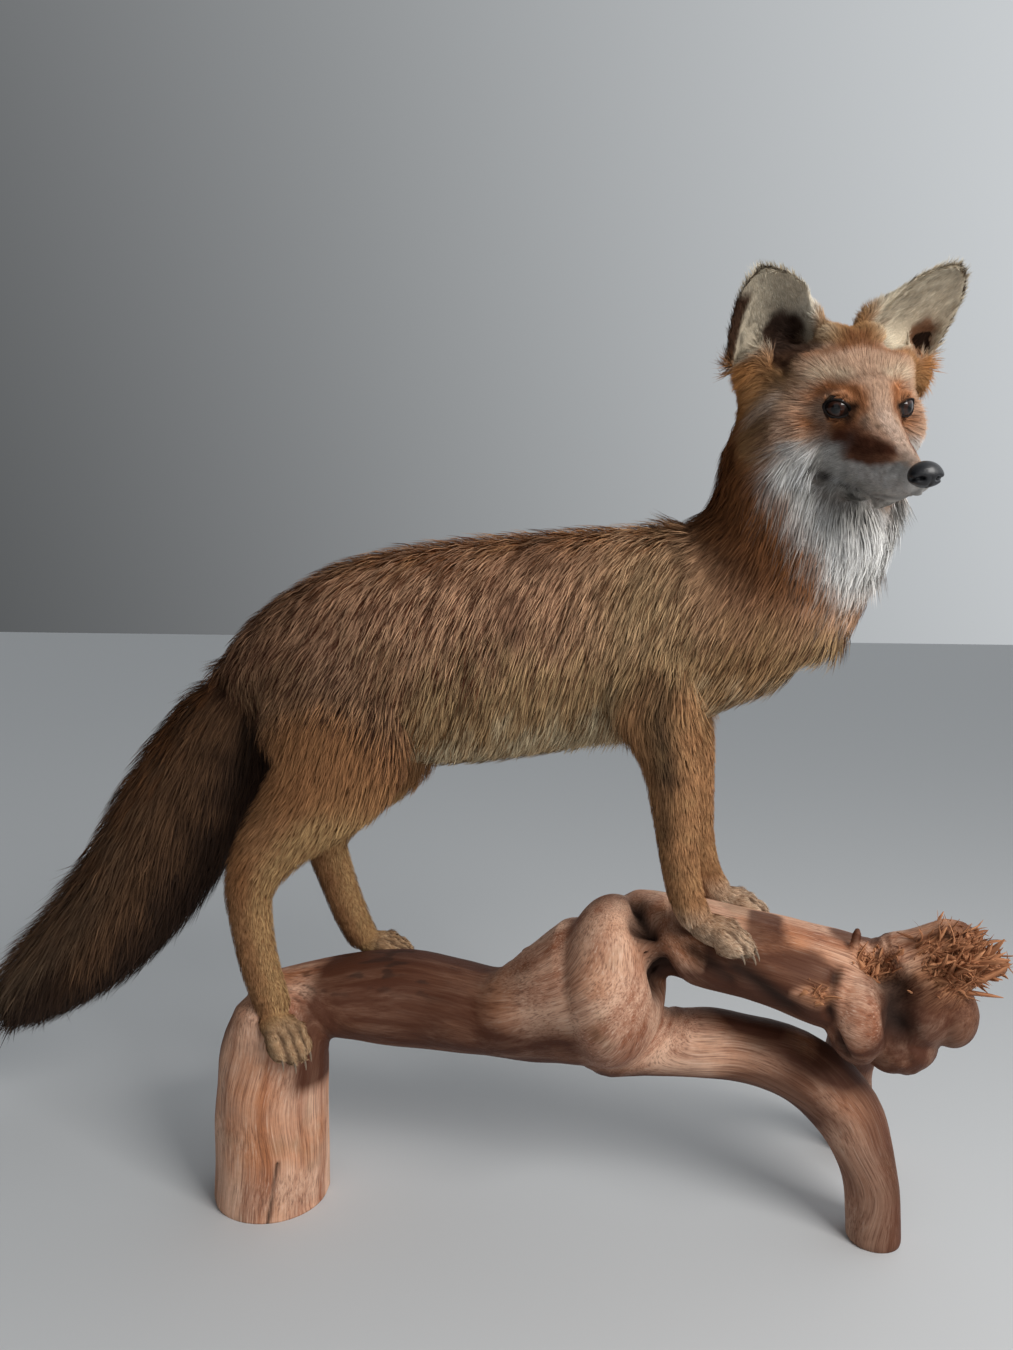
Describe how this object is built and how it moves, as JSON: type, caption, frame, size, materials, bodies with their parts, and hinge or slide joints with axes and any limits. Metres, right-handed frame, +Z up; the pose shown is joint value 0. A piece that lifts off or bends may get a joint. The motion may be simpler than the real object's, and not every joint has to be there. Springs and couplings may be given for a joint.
{
  "type": "taxidermy red fox",
  "caption": "Mounted red fox, standing with its head turned and its tail low, on a forked driftwood root with three feet.",
  "frame": {"origin": "middle of the whole part's footprint box, on the floor that the three driftwood feet stand on", "axes": "+Z up; +X the way the fox's body points, from tail to chest; +Y to the fox's left"},
  "size_m": [0.9107, 0.3022, 0.7401],
  "materials": {
    "coat": "dense straight guard hair, rust on the back, tan on the flanks, white on the bib",
    "eye_glass": "polished dark brown glass",
    "nose_leather": "semi-gloss black, finely pebbled",
    "claw": "satin dark horn",
    "driftwood": "weathered, oiled driftwood with a flowing grain"
  },
  "bodies": {
    "root": {"head": "coat", "nose": "nose_leather", "eye_right": "eye_glass", "eye_left": "eye_glass", "ear_right": "coat", "ear_left": "coat", "neck": "coat", "chest": "coat", "belly": "coat", "haunches": "coat", "tail_upper": "coat", "tail_tip": "coat", "foreleg_right": "coat", "foreleg_left": "coat", "forepaw_right": "coat", "forepaw_left": "coat", "hind_leg_right": "coat", "hind_leg_left": "coat", "hock_right": "coat", "hock_left": "coat", "hindpaw_right": "coat", "hindpaw_left": "coat", "driftwood_post": "driftwood", "driftwood_rear_bough": "driftwood", "driftwood_knee": "driftwood", "driftwood_front_log": "driftwood", "driftwood_lower_branch": "driftwood", "driftwood_front_foot": "driftwood", "driftwood_burl": "driftwood", "driftwood_back_foot": "driftwood"}
  },
  "joints": []
}
